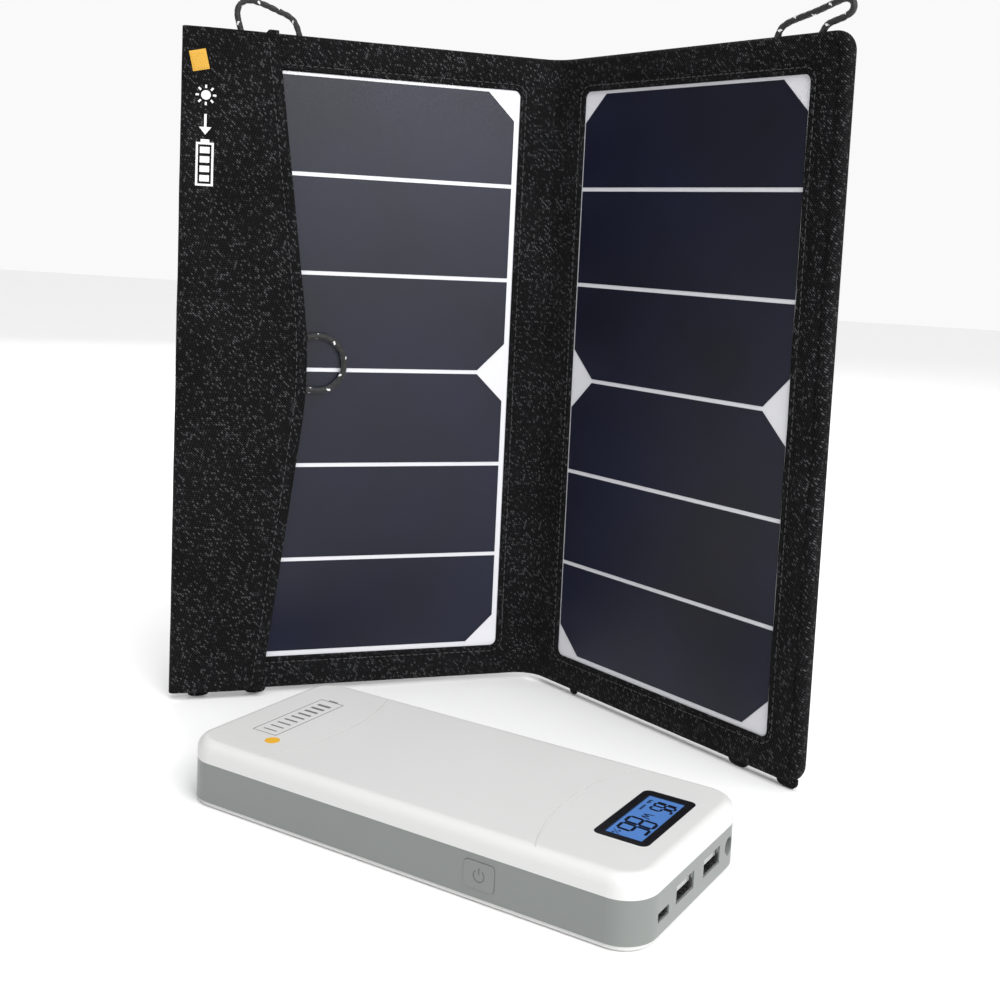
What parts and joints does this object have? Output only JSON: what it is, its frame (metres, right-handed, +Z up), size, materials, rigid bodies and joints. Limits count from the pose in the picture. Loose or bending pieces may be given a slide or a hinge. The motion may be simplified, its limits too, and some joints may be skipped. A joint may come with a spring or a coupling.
{
  "type": "folding solar charger with power bank",
  "caption": "Folding fabric solar charger standing open like a book, with a closing flap and cord loops, and a flat power bank with a display lying in front.",
  "frame": {"origin": "on the ground, under the middle of the whole kit, cords apart", "axes": "+Z up along the fold lines; the open cell side faces -Y; +X to the right seen from the cell side"},
  "size_m": [0.2804, 0.2286, 0.3099],
  "materials": {
    "case_cloth": "black woven polyester, light twill sheen",
    "hem_cloth": "black folded hem, edge stitched",
    "laminate_white": "white backsheet under a clear film",
    "cell_navy": "near-black navy cells under a satin film",
    "board_plastic": "black corrugated board",
    "terminal_plastic": "black potted cover",
    "lead_copper": "tinned copper strip",
    "webbing": "black webbing",
    "cord_black": "black braided elastic cord with white flecks",
    "tag_amber": "plain amber woven tag",
    "button_black": "black moulded button",
    "regulator_plastic": "black moulded plastic",
    "bank_white": "soft-touch off-white",
    "bank_grey": "satin grey-green",
    "bezel_black": "gloss black",
    "display_blue": "blue backlit liquid crystal display",
    "socket_steel": "plated steel shell",
    "jack_black": "black moulded jack",
    "board_green": "green circuit board",
    "cell_foil": "foil pouch",
    "screw_steel": "zinc plated",
    "switch_black": "black moulded"
  },
  "bodies": {
    "spine": {"spine_front_cloth": "case_cloth", "spine_back_cloth": "case_cloth", "spine_leads": "lead_copper"},
    "left_panel": {"left_front_frame": "case_cloth", "left_laminate": "laminate_white", "left_cells": "cell_navy", "left_stiffener": "board_plastic", "left_terminal_cover": "terminal_plastic", "left_leads": "lead_copper", "left_case_back": "case_cloth", "left_bottom_tabs": "webbing", "left_top_loop": "cord_black", "back_pocket": "case_cloth", "regulator_case": "regulator_plastic", "regulator_lid": "regulator_plastic", "regulator_usb_socket": "socket_steel", "regulator_board": "board_green"},
    "right_panel": {"right_front_frame": "case_cloth", "right_laminate": "laminate_white", "right_cells": "cell_navy", "right_stiffener": "board_plastic", "right_terminal_cover": "terminal_plastic", "right_leads": "lead_copper", "right_case_back": "case_cloth", "right_bottom_tabs": "webbing", "right_top_loop": "cord_black", "closing_button": "button_black", "spine_tail": "webbing"},
    "flap": {"flap_cloth": "case_cloth", "flap_hem": "hem_cloth", "flap_tag": "tag_amber", "flap_loop": "cord_black"},
    "power_bank": {"bank_top_cover": "bank_white", "bank_side_band": "bank_grey", "bank_base_plate": "bank_white", "bank_display_bezel": "bezel_black", "bank_display_panel": "display_blue", "bank_button_switch": "switch_black", "bank_usb_socket_far": "socket_steel", "bank_usb_socket_near": "socket_steel", "bank_micro_usb_socket": "socket_steel", "bank_dc_jack": "jack_black", "bank_circuit_board": "board_green", "bank_cell_pack": "cell_foil", "bank_case_screws": "screw_steel"},
    "power_button": {"bank_power_button": "bank_grey"}
  },
  "joints": [
    {"name": "left_fold", "type": "hinge", "parent": "spine", "child": "left_panel", "pos_m": [-0.00233, 0.11027, 0], "axis": [0, 0, 1], "range_deg": [-33.5, 56.5]},
    {"name": "right_fold", "type": "hinge", "parent": "spine", "child": "right_panel", "pos_m": [0.00567, 0.11027, 0], "axis": [0, 0, 1], "range_deg": [-56.5, 33.5]},
    {"name": "flap_hinge", "type": "hinge", "parent": "left_panel", "child": "flap", "pos_m": [-0.13759, 0.02002, 0.149], "axis": [0, 0, -1], "range_deg": [0, 180]},
    {"name": "power_bank_slide", "type": "slide", "parent": "spine", "child": "power_bank", "axis": [0, -1, 0], "range_m": [-0.0805, 0.1357]},
    {"name": "power_button_press", "type": "slide", "parent": "power_bank", "child": "power_button", "axis": [0.2622, 0.965, 0], "range_m": [0, 0.0006], "stiffness_N_per_m": 1500}
  ],
  "couplings": [
    {"joint": "right_fold", "follows": "left_fold", "ratio": -1},
    {"joint": "power_bank_slide", "follows": "left_fold", "m_per_rad": 0.13751}
  ]
}
